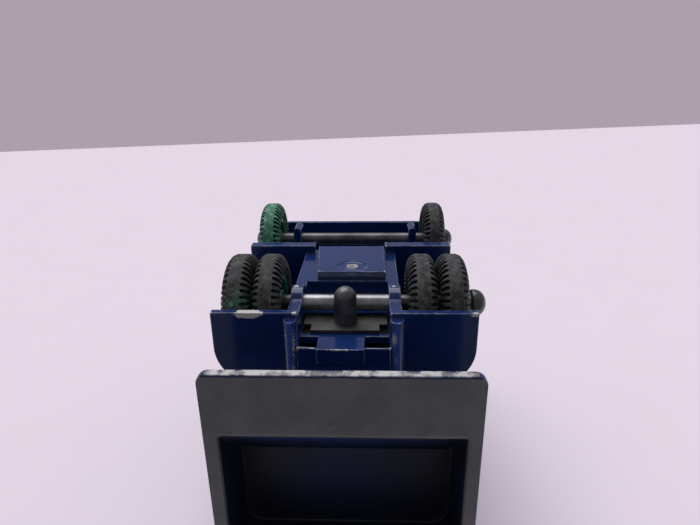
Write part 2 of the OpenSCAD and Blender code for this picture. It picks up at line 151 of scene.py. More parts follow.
def ramp(tree, value, low, high, kind="SMOOTHSTEP"):
    """0 below low, 1 above high, and the other way round where low is the larger."""
    inputs = {"Value": value, "From Min": low, "From Max": high}
    return add(tree, "ShaderNodeMapRange", inputs, interpolation_type=kind).outputs["Result"]


def spread(tree, value, low, high):
    """A value from 0 to 1, stretched to lie between low and high."""
    inputs = {"Value": value, "To Min": low, "To Max": high}
    return add(tree, "ShaderNodeMapRange", inputs).outputs["Result"]


def mix_colour(tree, share, under, over):
    inputs = {0: share, 6: under, 7: over}
    return add(tree, "ShaderNodeMix", inputs, data_type="RGBA").outputs[2]


def mix_value(tree, share, under, over):
    return add(tree, "ShaderNodeMix", {0: share, 2: under, 3: over}).outputs[0]


def noise(tree, where, scale, detail=4.0, rough=0.55, seed=0.0):
    inputs = {"Vector": where, "W": seed, "Scale": scale, "Detail": detail, "Roughness": rough}
    return add(tree, "ShaderNodeTexNoise", inputs, noise_dimensions="4D").outputs["Fac"]


def place(tree):
    return add(tree, "ShaderNodeTexCoord").outputs["Object"]


def place_on(tree, axis):
    return add(tree, "ShaderNodeSeparateXYZ", {0: place(tree)}).outputs[axis]


def rgb(red, green, blue):
    return (red, green, blue, 1.0)


# %% [markdown]
# ## Floor, surroundings and light
# A toy on a pale board is lit by what surrounds it, so the board comes first.
# One floor lies under the upturned toy and another under the upright one. Each shows only
# its front face, and only to rays that come from the camera or from a mirror-like surface,
# so neither shades the toy. The first one also shows only to rays that have come through the
# back of the other, so that it isn't a ceiling when the camera stands over the upright toy.

# %% Floors
FLOOR_COLOUR = rgb(0.92, 0.82, 0.92)
FLOOR_FLECK = rgb(0.60, 0.54, 0.60)
FLOOR_EDGE_PX = ((0, 152), (700, 124))
FLOOR_NEAR = 0.06
FLOOR_REACH = 1.5


def looking_rays(tree, mirrors=True):
    """1 for a ray that shows the surroundings: from the camera, or off a mirror or through glass."""
    path = add(tree, "ShaderNodeLightPath").outputs
    shown = path["Is Camera Ray"]
    if mirrors:
        bounced = calc(tree, "MAXIMUM", path["Is Glossy Ray"], path["Is Transmission Ray"])
        shown = calc(tree, "MAXIMUM", shown, bounced)
    return shown


def floor_material(name, upturned):
    material = bpy.data.materials.new(name)
    material.use_nodes = True
    tree = material.node_tree
    tree.nodes.clear()
    fleck = noise(tree, place(tree), 60.0, detail=6.0)
    colour = mix_colour(tree, spread(tree, fleck, 0.0, 0.10), FLOOR_COLOUR, FLOOR_FLECK)
    board = add(tree, "ShaderNodeBsdfDiffuse", {"Color": colour})
    clear = add(tree, "ShaderNodeBsdfTransparent")
    behind = add(tree, "ShaderNodeNewGeometry").outputs["Backfacing"]
    shown = calc(tree, "MULTIPLY", looking_rays(tree, mirrors=upturned), invert(tree, behind))
    if upturned:
        passed = add(tree, "ShaderNodeLightPath").outputs["Transparent Depth"]
        shown = calc(tree, "MULTIPLY", shown, calc(tree, "GREATER_THAN", passed, 0.5))
    mix = add(tree, "ShaderNodeMixShader", {0: shown, 1: clear.outputs[0], 2: board.outputs[0]})
    add(tree, "ShaderNodeOutputMaterial", {"Surface": mix.outputs[0]})
    return material


def floor_hit(pixel, height):
    across, below = (pixel[0] - IMAGE_W / 2) / FOCAL_PX, (pixel[1] - IMAGE_H / 2) / FOCAL_PX
    ray = ahead + across * right + below * down
    return EYE + ray * (height - EYE.z) / ray.z


def stage_plane(name, corners, material):
    mesh = bpy.data.meshes.new(name)
    mesh.from_pydata(corners, [], [tuple(range(len(corners)))])
    mesh.materials.append(material)
    plane = bpy.data.objects.new(name, mesh)
    bpy.context.scene.collection.objects.link(plane)
    print(name, "faces", [round(v, 2) for v in mesh.polygons[0].normal])


far_left, far_right = (floor_hit(pixel, cad_high.z) for pixel in FLOOR_EDGE_PX)
edge = far_right - far_left
stage_plane("floor_under_upturned_toy", [
    Vector((FLOOR_REACH, -FLOOR_NEAR, cad_high.z)), Vector((-FLOOR_REACH, -FLOOR_NEAR, cad_high.z)),
    far_right + edge, far_left - edge,
], floor_material("board_under_upturned_toy", upturned=True))
stage_plane("floor_under_upright_toy", [
    Vector((-FLOOR_REACH, -FLOOR_REACH, 0)), Vector((FLOOR_REACH, -FLOOR_REACH, 0)),
    Vector((FLOOR_REACH, FLOOR_REACH, 0)), Vector((-FLOOR_REACH, FLOOR_REACH, 0)),
], floor_material("board_under_upright_toy", upturned=False))

# %% [markdown]
# The picture's light comes from above the upturned toy and from behind it, and the side towards
# the camera is dim, which is why the front plates are nearly black. A world with a dim front
# does most of the work. What the camera and the gloss see of it is a little darker than the
# light it gives, and a wide soft sun on each side of the toy adds shape.

# %% World
BACKDROP = rgb(0.41, 0.35, 0.41)
MIRRORED_BACK = rgb(0.28, 0.28, 0.36)
MIRRORED_FRONT = rgb(0.21, 0.20, 0.20)
BRIGHT_SIDE = rgb(0.62, 0.605, 0.63)
DIM_FRONT = rgb(0.14, 0.14, 0.155)
FRONT_BEGINS = -0.25
FRONT_FULL = 0.75

world = bpy.data.worlds.new("soft_room")
world.use_nodes = True
bpy.context.scene.world = world
tree = world.node_tree
tree.nodes.clear()
heading = add(tree, "ShaderNodeSeparateXYZ", {0: add(tree, "ShaderNodeTexCoord").outputs["Generated"]})
towards_front = calc(tree, "MULTIPLY", heading.outputs["Y"], -1.0)
front = ramp(tree, towards_front, FRONT_BEGINS, FRONT_FULL)
light = mix_colour(tree, front, BRIGHT_SIDE, DIM_FRONT)
mirrored = mix_colour(tree, front, MIRRORED_BACK, MIRRORED_FRONT)
seen = mix_colour(tree, looking_rays(tree, mirrors=False), mirrored, BACKDROP)
colour = mix_colour(tree, looking_rays(tree), light, seen)
room = add(tree, "ShaderNodeBackground", {"Color": colour})
add(tree, "ShaderNodeOutputWorld", {"Surface": room.outputs[0]})
bpy.context.scene.view_settings.view_transform = "Standard"
print("world:", world.name)


# %% Lamps
def soft_sun(name, direction, strength, softness):
    data = bpy.data.lights.new(name, "SUN")
    data.energy = strength
    data.angle = math.radians(softness)
    lamp = bpy.data.objects.new(name, data)
    lamp.rotation_euler = Vector(direction).to_track_quat("-Z", "Y").to_euler()
    bpy.context.scene.collection.objects.link(lamp)


soft_sun("sun_over_underside", (-0.20, -0.45, 1.0), 1.45, 50)
soft_sun("sun_over_deck", (0.30, -0.25, -1.0), 1.25, 50)
print("lamps:", [light.name for light in bpy.data.lights])

# %% [markdown]
# ## Effects that several finishes share
# Paint on a die-cast toy chips first along raised edges, gathers dust in the corners and is
# never quite flat. Each of these is a node group with named inputs, so that every finish
# can have it at its own strength. Raised edges are found with an ambient-occlusion ray cast
# into the metal: close to an outer edge such rays soon come out of the other face. A chip is
# a ragged spot at a given place, for the marks that this one toy has.

# %% Shared node groups
def new_group(name, inputs, outputs):
    tree = bpy.data.node_groups.new(name, "ShaderNodeTree")
    for label, value in inputs.items():
        kind = "NodeSocketVector" if isinstance(value, tuple) else "NodeSocketFloat"
        socket = tree.interface.new_socket(label, in_out="INPUT", socket_type=kind)
        socket.default_value = value
    for label in outputs:
        tree.interface.new_socket(label, in_out="OUTPUT", socket_type="NodeSocketFloat")
    return tree, add(tree, "NodeGroupInput").outputs, add(tree, "NodeGroupOutput").inputs


def use_group(tree, group, inputs):
    return add(tree, "ShaderNodeGroup", inputs, node_tree=group).outputs


def open_sky(tree, reach, inside=False):
    """1 where nothing of the same object lies within reach, looking out of its surface or into it."""
    return add(tree, "ShaderNodeAmbientOcclusion", {"Distance": reach}, inside=inside, only_local=True,
               samples=8).outputs["AO"]



def edge_wear_group():
    tree, given, out = new_group("Edge wear", {
        "Reach": 0.5 * mm, "Amount": 0.5, "Grain": 900.0, "Seed": 0.0,
    }, ["Bare", "Edge"])
    edge = ramp(tree, invert(tree, open_sky(tree, given["Reach"], inside=True)), 0.10, 0.50)
    where = place(tree)
    fine = noise(tree, where, given["Grain"], detail=5.0, seed=given["Seed"])
    broad = noise(tree, where, calc(tree, "MULTIPLY", given["Grain"], 0.16), seed=given["Seed"])
    ragged = calc(tree, "ADD", calc(tree, "MULTIPLY", fine, 0.5), calc(tree, "MULTIPLY", broad, 0.9))
    total = calc(tree, "ADD", calc(tree, "MULTIPLY", edge, 0.55), ragged)
    start = calc(tree, "SUBTRACT", 1.62, given["Amount"])
    tree.links.new(ramp(tree, calc(tree, "SUBTRACT", total, start), 0.0, 0.05), out["Bare"])
    tree.links.new(edge, out["Edge"])
    return tree


def corner_dust_group():
    tree, given, out = new_group("Corner dust", {
        "Reach": 2 * mm, "Amount": 0.5, "Grain": 500.0, "Seed": 0.0,
    }, ["Dust"])
    corner = ramp(tree, invert(tree, open_sky(tree, given["Reach"])), 0.15, 0.75)
    patch = noise(tree, place(tree), given["Grain"], detail=6.0, seed=given["Seed"])
    patchy = calc(tree, "MULTIPLY", corner, ramp(tree, patch, 0.3, 0.7))
    tree.links.new(calc(tree, "MULTIPLY", patchy, given["Amount"]), out["Dust"])
    return tree


def paint_skin_group():
    tree, given, out = new_group("Paint skin", {"Grain": 700.0, "Seed": 0.0}, ["Height", "Tone"])
    where = place(tree)
    peel = noise(tree, where, given["Grain"], detail=2.0, seed=given["Seed"])
    cloud = noise(tree, where, calc(tree, "MULTIPLY", given["Grain"], 0.12), detail=5.0, seed=given["Seed"])
    tree.links.new(peel, out["Height"])
    tree.links.new(cloud, out["Tone"])
    return tree


def chip_group():
    tree, given, out = new_group("Chip", {
        "Centre": (0.0, 0.0, 0.0), "Size": (mm, mm, mm), "Solid": 1.0, "Grain": 1400.0, "Seed": 0.0,
    }, ["Bare"])
    where = place(tree)
    offset = add(tree, "ShaderNodeVectorMath", {0: where, 1: given["Centre"]}, operation="SUBTRACT")
    share = add(tree, "ShaderNodeVectorMath", {0: offset.outputs[0], 1: given["Size"]}, operation="DIVIDE")
    far = add(tree, "ShaderNodeVectorMath", {0: share.outputs[0]}, operation="LENGTH").outputs["Value"]
    near = ramp(tree, far, 1.0, 0.0, kind="LINEAR")
    torn = noise(tree, where, given["Grain"], detail=4.0, rough=0.6, seed=given["Seed"])
    level = calc(tree, "ADD", torn, calc(tree, "MULTIPLY", near, given["Solid"]))
    inside = ramp(tree, near, 0.0, 0.05)
    tree.links.new(calc(tree, "MULTIPLY", ramp(tree, level, 0.70, 0.76), inside), out["Bare"])
    return tree


edge_wear = edge_wear_group()
corner_dust = corner_dust_group()
paint_skin = paint_skin_group()
chip = chip_group()
print("groups:", [group.name for group in bpy.data.node_groups])

# %% [markdown]
# ## Finishes
# A finish starts from an empty material with one Principled shader. Paint is a deep colour
# under a smooth glossy skin, and bare zinc shows where it has chipped. Every mark is a mask
# from 0 to 1, and each mask mixes the next layer over the ones below it.

# %% Material helpers
def new_finish(name):
    material = bpy.data.materials.new(name)
    material.use_nodes = True
    tree = material.node_tree
    return material, tree, tree.nodes["Principled BSDF"].inputs


def bump(tree, socket, height, depth, strength=1.0):
    made = add(tree, "ShaderNodeBump", {"Strength": strength, "Distance": depth, "Height": height})
    tree.links.new(made.outputs[0], socket)


def union_of(tree, masks):
    total = masks[0]
    for mask in masks[1:]:
        total = calc(tree, "MAXIMUM", total, mask)
    return total


def marks(tree, places):
    return union_of(tree, [use_group(tree, chip, inputs)["Bare"] for inputs in places])


BARE_ZINC = rgb(0.60, 0.59, 0.59)
CORNER_DUST = rgb(0.16, 0.16, 0.18)
# painted shade: the near-black colour of the dark spots
PAINTED_SHADE_DARK = rgb(0.004, 0.003, 0.003)
# painted light: a lighter blue for the rail ends, which face the dim side
PAINTED_LIGHT_BLUE = rgb(0.055, 0.12, 0.42)


def painted(name, colour, dark, thin, wear, seed, gloss=0.12, chips=(), painted_shade_spots=(), painted_light_spots=(),
            sound=(), overcoat=None, rubbed=None):
    """Gloss paint over zinc, from its deepest shade to the thin coat on its edges.

    The four spot lists, in the order of the arguments, are inputs for the Chip group: bare spots, spots of
    painted shade, spots of painted light in a lighter blue, and areas that edge wear leaves alone. The
    overcoat function returns a mask, a colour and a roughness for a layer over the paint: on the skip, a
    second paint on its lip and painted shade inside it. rubbed returns a mask of metal that is worn bare.
    """
    material, tree, shader = new_finish(name)
    skin = use_group(tree, paint_skin, {"Seed": seed})
    worn = use_group(tree, edge_wear, {"Amount": wear, "Seed": seed})
    dust = use_group(tree, corner_dust, {"Amount": 0.35, "Seed": seed})
    paint = mix_colour(tree, ramp(tree, skin["Tone"], 0.3, 0.7), dark, colour)
    paint = mix_colour(tree, calc(tree, "MULTIPLY", worn["Edge"], 0.6), paint, thin)
    # painted light: spots mixed to a lighter blue
    if painted_light_spots:
        paint = mix_colour(tree, marks(tree, painted_light_spots), paint, PAINTED_LIGHT_BLUE)
    rough = spread(tree, skin["Tone"], gloss - 0.06, gloss + 0.10)
    if overcoat:
        mask, coat_colour, coat_rough = overcoat(tree)
        paint = mix_colour(tree, mask, paint, coat_colour)
        rough = mix_value(tree, mask, rough, coat_rough)
    paint = mix_colour(tree, dust["Dust"], paint, CORNER_DUST)
    # painted shade: near-black spots mixed over the paint
    if painted_shade_spots:
        paint = mix_colour(tree, marks(tree, painted_shade_spots), paint, PAINTED_SHADE_DARK)
    bare = worn["Bare"]
    if sound:
        bare = calc(tree, "MULTIPLY", bare, invert(tree, marks(tree, sound)))
    if chips:
        bare = calc(tree, "MAXIMUM", bare, marks(tree, chips))
    if rubbed:
        bare = calc(tree, "MAXIMUM", bare, rubbed(tree))
    feed(tree, shader["Base Color"], mix_colour(tree, bare, paint, BARE_ZINC))
    dull = calc(tree, "MAXIMUM", bare, dust["Dust"])
    feed(tree, shader["Roughness"], mix_value(tree, dull, rough, 0.6))
    feed(tree, shader["Metallic"], calc(tree, "MULTIPLY", bare, 0.35))
    height = calc(tree, "SUBTRACT", calc(tree, "MULTIPLY", skin["Height"], 0.5), bare)
    bump(tree, shader["Normal"], height, 0.04 * mm, 0.6)
    return material


# %% [markdown]
# The chassis has marks of its own: a long chip on the edge of one front plate, bare corners and
# specks along the ends of the rails. The rail ends are also painted a lighter blue, as painted light,
# and two near-black spots beside the keeper plate are painted shade in its notches. The sump's front
# is kept whole, since the thin wall there would pass for an edge.

# %% Blue paint
BLUE = rgb(0.008, 0.031, 0.150)
DEEP_BLUE = rgb(0.006, 0.021, 0.105)
THIN_BLUE = rgb(0.030, 0.075, 0.27)


def spots(places, first_seed, grain=1400.0):
    """Inputs for the Chip group from rows of centre in mm, size in mm and how solid the spot is."""
    return [{"Centre": Vector(centre) * mm, "Size": Vector(size) * mm, "Solid": solid, "Grain": grain,
             "Seed": first_seed + i} for i, (centre, size, solid) in enumerate(places)]


PLATE_CHIPS = spots([
    ((17.5, -33.0, 6.7), (3.3, 1.9, 1.3), 1.1),
    ((8.9, -33.2, 6.5), (0.9, 1.0, 0.7), 1.0),
    ((10.1, -20.8, 6.4), (1.0, 1.2, 0.6), 0.40),
    ((-9.6, -20.8, 6.4), (0.9, 1.2, 0.6), 0.35),
    ((-23.8, -33.0, 6.8), (1.2, 1.2, 0.9), 0.50),
    ((0.4, -35.1, 13.0), (4.6, 0.5, 0.4), 0.55),
], 3.0)
RAIL_SPECKS = spots([
    ((9.1, -34.8, 12.4), (0.8, 1.2, 5.8), 0.30),
    ((10.6, -34.8, 10.4), (0.7, 1.2, 2.8), 0.26),
    ((9.4, -34.8, 17.0), (0.8, 0.9, 1.6), 0.32),
    ((-9.2, -34.8, 11.0), (1.2, 1.2, 2.6), 0.36),
    ((-9.8, -34.8, 15.5), (0.8, 1.2, 2.2), 0.24),
], 14.0, grain=4200.0)
# painted shade: two near-black spots in the keeper plate's notches, where it is dark
KEEPER_NOTCH_SHADE = spots([((side * 7.5, -27.6, 13.0), (1.4, 1.9, 0.6), 1.2) for side in (-1, 1)], 30.0)
# painted light: the ends of the rails are painted a lighter blue
RAIL_ENDS_PAINTED_LIGHT = spots([((side * 9.8, -35.4, 14), (1.9, 1.0, 12), 3.0) for side in (-1, 1)], 40.0)
rivet_low, rivet_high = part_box("sump_rivet")
rivet_face = Vector(((rivet_low.x + rivet_high.x) / 2, (rivet_low.y + rivet_high.y) / 2, rivet_low.z)) / mm
SUMP_FRONT = spots([(rivet_face + Vector((0, -3.6, 0.45)), (2.8, 0.5, 1.1), 3.0)], 45.0)
blue_paint = painted("blue_paint", BLUE, DEEP_BLUE, THIN_BLUE, 0.50, 1.0, chips=PLATE_CHIPS + RAIL_SPECKS,
                     painted_shade_spots=KEEPER_NOTCH_SHADE, painted_light_spots=RAIL_ENDS_PAINTED_LIGHT, sound=SUMP_FRONT)
print("finish:", blue_paint.name, "with", len(PLATE_CHIPS + RAIL_SPECKS), "chips")

# %% [markdown]
# The skip's lip has a silver-grey coat over the blue. The coat stops a little short of the lip's
# sides and of its lowest edge, where it is rubbed down to bright metal. The skip's inside is
# given painted shade: it is painted a near-black blue and made dull. A long ambient-occlusion ray tells it
# from the outside.

# %% Skip paint
LIP_GREY = rgb(0.195, 0.189, 0.206)
LIP_DARK = rgb(0.150, 0.146, 0.160)
# painted shade: the near-black blue that the skip's inside is painted in place of its blue
INSIDE_SHADE_BLUE = rgb(0.003, 0.007, 0.021)
DULL_BLUE = rgb(0.006, 0.014, 0.055)
LIP_PAINT_DEPTH = 1.3 * mm
INSIDE_SHADE_REACH = 25 * mm
skip_low, skip_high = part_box("skip")


def lip_coat_mask(tree):
    ragged = calc(tree, "MULTIPLY", noise(tree, place(tree), 300.0, detail=5.0), 0.5 * mm)
    depth = calc(tree, "SUBTRACT", calc(tree, "ADD", place_on(tree, "Y"), ragged), skip_low.y)
    shallow = ramp(tree, depth, 1.4 * LIP_PAINT_DEPTH, LIP_PAINT_DEPTH)
    across = calc(tree, "ABSOLUTE", place_on(tree, "X"))
    from_side = calc(tree, "ADD", calc(tree, "SUBTRACT", skip_high.x, across), ragged)
    mask = calc(tree, "MULTIPLY", shallow, ramp(tree, from_side, 0.30 * mm, 0.62 * mm))
    lift = calc(tree, "SUBTRACT", place_on(tree, "Z"), skip_low.z)
    on_edge = ramp(tree, lift, 0.12 * mm, 0.05 * mm)
    on_front = ramp(tree, calc(tree, "ADD", lift, ragged), 0.62 * mm, 0.85 * mm)
    mask = calc(tree, "MULTIPLY", mask, calc(tree, "MAXIMUM", on_edge, on_front))
    nicks = ramp(tree, noise(tree, place(tree), 700.0, detail=3.0, seed=5.0), 0.71, 0.75)
    return calc(tree, "MULTIPLY", mask, invert(tree, nicks))


def lip_coat_and_inside_shade(tree):
    mask = lip_coat_mask(tree)
    streak = noise(tree, place(tree), 160.0, detail=9.0, rough=0.7)
    grey = mix_colour(tree, ramp(tree, streak, 0.35, 0.65), LIP_DARK, LIP_GREY)
    # painted shade: inside the skip, where a long ambient-occlusion ray is blocked, the paint turns
    # near-black blue
    painted_inside_shade = ramp(tree, open_sky(tree, INSIDE_SHADE_REACH), 0.85, 0.55)
    return calc(tree, "MAXIMUM", mask, painted_inside_shade), mix_colour(tree, mask, INSIDE_SHADE_BLUE, grey), 0.48


def lip_edge_rubbed(tree):
    lift = calc(tree, "SUBTRACT", place_on(tree, "Z"), skip_low.z)
    across = calc(tree, "ABSOLUTE", place_on(tree, "X"))
    low = ramp(tree, lift, 0.30 * mm, 0.05 * mm)
    edge = calc(tree, "MULTIPLY", low, ramp(tree, across, 22.6 * mm, 21.0 * mm))
    patch = noise(tree, place(tree), 260.0, detail=7.0, rough=0.65, seed=8.0)
    return calc(tree, "MULTIPLY", edge, ramp(tree, patch, 0.43, 0.55))


skip_paint = painted("skip_paint", BLUE, DULL_BLUE, THIN_BLUE, 0.46, 2.0, gloss=0.40,
                     overcoat=lip_coat_and_inside_shade, rubbed=lip_edge_rubbed)
print("finish:", skip_paint.name)

# %% [markdown]
# The rivet is blue like the sump, with its dimple painted as bare zinc, which is partly worn metal
# and partly a painted highlight. The hubs are green and the steering wheel is black.

# %% Other paints
# the chip on the rivet's dimple is bare zinc that also serves as a painted highlight there
rivet_paint = painted("rivet_paint", BLUE, DEEP_BLUE, THIN_BLUE, 0.42, 9.0,
                      chips=spots([(rivet_face, (1.4, 1.4, 1.8), 3.0)], 50.0))
hub_paint = painted("hub_paint", rgb(0.03, 0.20, 0.12), rgb(0.02, 0.14, 0.085), rgb(0.06, 0.27, 0.17),
                    0.36, 4.0, gloss=0.3)
black_paint = painted("black_paint", rgb(0.02, 0.02, 0.022), rgb(0.012, 0.012, 0.014), rgb(0.05, 0.05, 0.052),
                      0.30, 6.0)
print("finishes:", rivet_paint.name, hub_paint.name, black_paint.name)

# %% [markdown]
# Steel is bare, stained and rusty in the corners. The front axle is a much lighter copy of the steel
# between the rails, as a painted reflection, and darker outside them. The rear axle is a slightly darker
# copy, as painted shade.

# %% Steel
DULL_STEEL = rgb(0.10, 0.098, 0.10)
RUST = rgb(0.05, 0.025, 0.015)


def steel(name, light, dark, rough, seed, rust=0.0, dull_from=None):
    """Bare steel with stains. dull_from is the distance from the centre plane where it turns dull."""
    material, tree, shader = new_finish(name)
    where = place(tree)
    stain = noise(tree, where, 260.0, detail=7.0, rough=0.6, seed=seed)
    grain = noise(tree, where, 2400.0, detail=3.0, seed=seed)
    tone = mix_colour(tree, ramp(tree, stain, 0.32, 0.68), dark, light)
    if dull_from:
        across = calc(tree, "ABSOLUTE", place_on(tree, "X"))
        tone = mix_colour(tree, ramp(tree, across, dull_from, dull_from + mm), tone, DULL_STEEL)
    dust = use_group(tree, corner_dust, {"Amount": 0.8, "Reach": 1.2 * mm, "Seed": seed})
    feed(tree, shader["Base Color"], mix_colour(tree, calc(tree, "MULTIPLY", dust["Dust"], rust), tone, RUST))
    feed(tree, shader["Roughness"], spread(tree, stain, rough - 0.08, rough + 0.16))
    shader["Metallic"].default_value = 0.6
    bump(tree, shader["Normal"], grain, 0.02 * mm, 0.5)
    return material


bare_steel = steel("bare_steel", rgb(0.20, 0.197, 0.20), rgb(0.07, 0.069, 0.072), 0.30, 11.0, rust=0.5)
# painted reflection: the front axle's steel is painted far lighter than the other steel; painted shade: the
# rear axle's is a little darker
axle_steel = {
    "front_axle": steel("front_axle_steel_painted_reflection", rgb(0.46, 0.45, 0.46), rgb(0.25, 0.244, 0.25), 0.24, 13.0,
                        rust=0.5, dull_from=9.5 * mm),
    "rear_axle": steel("rear_axle_steel_painted_shade", rgb(0.17, 0.168, 0.17), rgb(0.06, 0.06, 0.062), 0.30, 15.0,
                       rust=0.5),
}
plate_steel = steel("plate_steel", rgb(0.10, 0.10, 0.095), rgb(0.05, 0.05, 0.046), 0.42, 12.0, rust=1.0)
print("finishes:", bare_steel.name, plate_steel.name, [steel.name for steel in axle_steel.values()])

# %% [markdown]
# Rubber is nearly black, with a pale bloom on its crown, painted shade that blackens its grooves and,
# on some tyres, stray green spray paint that fades with the distance from where it was aimed.

# %% Tyre rubber
RUBBER = rgb(0.016, 0.016, 0.017)
BLOOM = rgb(0.10, 0.097, 0.10)
SPRAY_GREEN = rgb(0.035, 0.20, 0.115)
PALE_SPRAY = rgb(0.30, 0.50, 0.41)
# painted shade: the near-black colour that the tyre's grooves are painted
GROOVE_SHADE = rgb(0.004, 0.004, 0.0045)


def tyre_rubber(name, seed, spray, spray_at):
    """Dusty rubber with stray green paint: how much of it, from 0 to 1, and the point it was aimed at."""
    material, tree, shader = new_finish(name)
    where = place(tree)
    cloud = noise(tree, where, 700.0, detail=7.0, rough=0.66, seed=seed)
    grain = noise(tree, where, 2600.0, detail=3.0, seed=seed)
    worn = use_group(tree, edge_wear, {"Amount": 0.62, "Reach": 0.35 * mm, "Grain": 1500.0, "Seed": seed})
    bloom = calc(tree, "MAXIMUM", ramp(tree, cloud, 0.40, 0.66), calc(tree, "MULTIPLY", worn["Edge"], 0.55))
    colour = mix_colour(tree, bloom, RUBBER, BLOOM)
    offset = add(tree, "ShaderNodeVectorMath", {0: where, 1: spray_at}, operation="DISTANCE").outputs["Value"]
    fade = ramp(tree, offset, 2.5 * mm, 12.0 * mm, kind="LINEAR")
    patch = noise(tree, where, 420.0, detail=6.0, rough=0.7, seed=seed + 20.0)
    dose = calc(tree, "SUBTRACT", calc(tree, "ADD", patch, spray - 1.0), calc(tree, "MULTIPLY", fade, 0.4))
    covered = ramp(tree, dose, -0.12, 0.12)
    thick = ramp(tree, noise(tree, where, 800.0, detail=5.0, seed=seed + 30.0), 0.46, 0.70)
    colour = mix_colour(tree, covered, colour, mix_colour(tree, thick, SPRAY_GREEN, PALE_SPRAY))
    # painted shade: where a short ambient-occlusion ray is blocked, in the grooves, the rubber is mixed to
    # near black
    colour = mix_colour(tree, ramp(tree, open_sky(tree, 1.1 * mm), 0.75, 0.35), colour, GROOVE_SHADE)
    feed(tree, shader["Base Color"], colour)
    feed(tree, shader["Roughness"], spread(tree, cloud, 0.55, 0.85))
    bump(tree, shader["Normal"], calc(tree, "ADD", grain, cloud), 0.03 * mm, 0.6)
    return material


# %% [markdown]
# ## Castings
# The chassis, skip, bonnet and seat are zinc castings, and a casting has no knife edges: the
# die is slightly rounded and paint rounds it further. A copy of each solid is cleaned into
# whole faces, its edges are bevelled, and its normals are weighted by face area, so that flat
# faces stay flat and only the edges catch the light.

# %% Casting helper
EDGE_ANGLE = math.radians(28)
FLAT = 0.002 * mm
TANGLE_REACH = 0.5 * mm


def settle(piece, node):
    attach(piece, frame["nodes"][node]["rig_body"])
    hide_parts(node)


def as_mesh(maker, name):
    """The evaluated result of an object's modifiers, as a plain object of that name."""
    graph = bpy.context.evaluated_depsgraph_get()
    mesh = bpy.data.meshes.new_from_object(maker.evaluated_get(graph))
    bpy.data.objects.remove(maker)
    mesh.name = name
    piece = bpy.data.objects.new(name, mesh)
    bpy.context.scene.collection.objects.link(piece)
    return piece


def bevel_share(edge, width):
    """How much of the bevel's width an edge can take: none on a flat one, less beside a narrow face."""
    if len(edge.link_faces) != 2 or edge.calc_face_angle() < EDGE_ANGLE:
        return 0.0
    start = edge.verts[0].co
    along = (edge.verts[1].co - start).normalized()
    depths = [max((vert.co - start).cross(along).length for vert in face.verts) for face in edge.link_faces]
    return min(1.0, 0.4 * min(depths) / width)


# %% [markdown]
# A bevel cuts the corners of every face it meets, and a large flat with a hole in it comes out
# as slivers that overlap. So each flat patch is filled again: its rims are kept, and a
# constrained triangulation fills the space between them. A triangle belongs to the flat when a
# ray from its middle crosses the rims an odd number of times.

# %% Flat faces after the bevel
def level_with(face, normal, origin):
    off_plane = max(abs((vert.co - origin).dot(normal)) for vert in face.verts)
    return off_plane < FLAT and (abs(face.normal.dot(normal)) > 0.999 or face.calc_area() < FLAT * mm)


def flat_patches(body):
    """Lists of neighbouring faces that lie in one plane, each with the plane's normal."""
    seen = set()
    for first in sorted(body.faces, key=lambda face: -face.calc_area()):
        if first in seen:
            continue
        seen.add(first)
        patch = [first]
        for face in patch:
            for other in (near for edge in face.edges for near in edge.link_faces):
                if other not in seen and level_with(other, first.normal, first.verts[0].co):
                    seen.add(other)
                    patch.append(other)
        if len(patch) > 1 or len(first.verts) > 4:
            yield first.normal.copy(), patch


def inside(x, y, outline):
    """Whether a ray from the point crosses the outline an odd number of times."""
    crossed = [a.y != b.y and (a.y > y) != (b.y > y) and x < a.x + (b.x - a.x) * (y - a.y) / (b.y - a.y)
               for a, b in outline]
    return sum(crossed) % 2 == 1


def fill_again(body, normal, patch):
    """Replaces a flat patch by triangles between its rims, so that holes stay open."""
    rim = [edge for face in patch for edge in face.edges
           if sum(near in patch for near in edge.link_faces) == 1]
    verts = list(dict.fromkeys(vert for edge in rim for vert in edge.verts))
    at = {vert: i for i, vert in enumerate(verts)}
    to_plane = normal.to_track_quat("Z", "Y").inverted()
    plan = [(to_plane @ vert.co) / mm for vert in verts]
    edges = [(at[edge.verts[0]], at[edge.verts[1]]) for edge in rim]
    points, _, triangles, sources, _, _ = delaunay_2d_cdt([spot.xy for spot in plan], edges, [], 0, 1e-5)
    bmesh.ops.delete(body, geom=patch, context="FACES")
    outline = [(plan[a], plan[b]) for a, b in edges]
    level = plan[0].z
    corners = [verts[source[0]] if source
               else body.verts.new(to_plane.inverted() @ Vector((point.x, point.y, level)) * mm)
               for point, source in zip(points, sources)]
    for triangle in triangles:
        middle_of = sum((points[i] for i in triangle), Vector((0, 0))) / 3
        if inside(middle_of.x, middle_of.y, outline):
            ring = [corners[i] for i in triangle]
            body.faces.new(ring if facing(ring, normal) else ring[::-1])


def facing(ring, normal):
    return (ring[1].co - ring[0].co).cross(ring[2].co - ring[0].co).dot(normal) > 0


def tangles(body):
    """Middles of the bevel's quads that are folded over themselves."""
    for face in body.faces:
        ring = [vert.co for vert in face.verts]
        if len(ring) == 4:
            turns = [(ring[i] - ring[i - 1]).cross(ring[(i + 1) % 4] - ring[i]) for i in range(4)]
            if any(turn.dot(face.normal) < 0 for turn in turns):
                yield face.calc_center_median()


# %% [markdown]
# With these helpers a casting is made in two goes. The first one shows where short edges crowd
# together and the bevel folds over itself. Those edges stay sharp in the second.

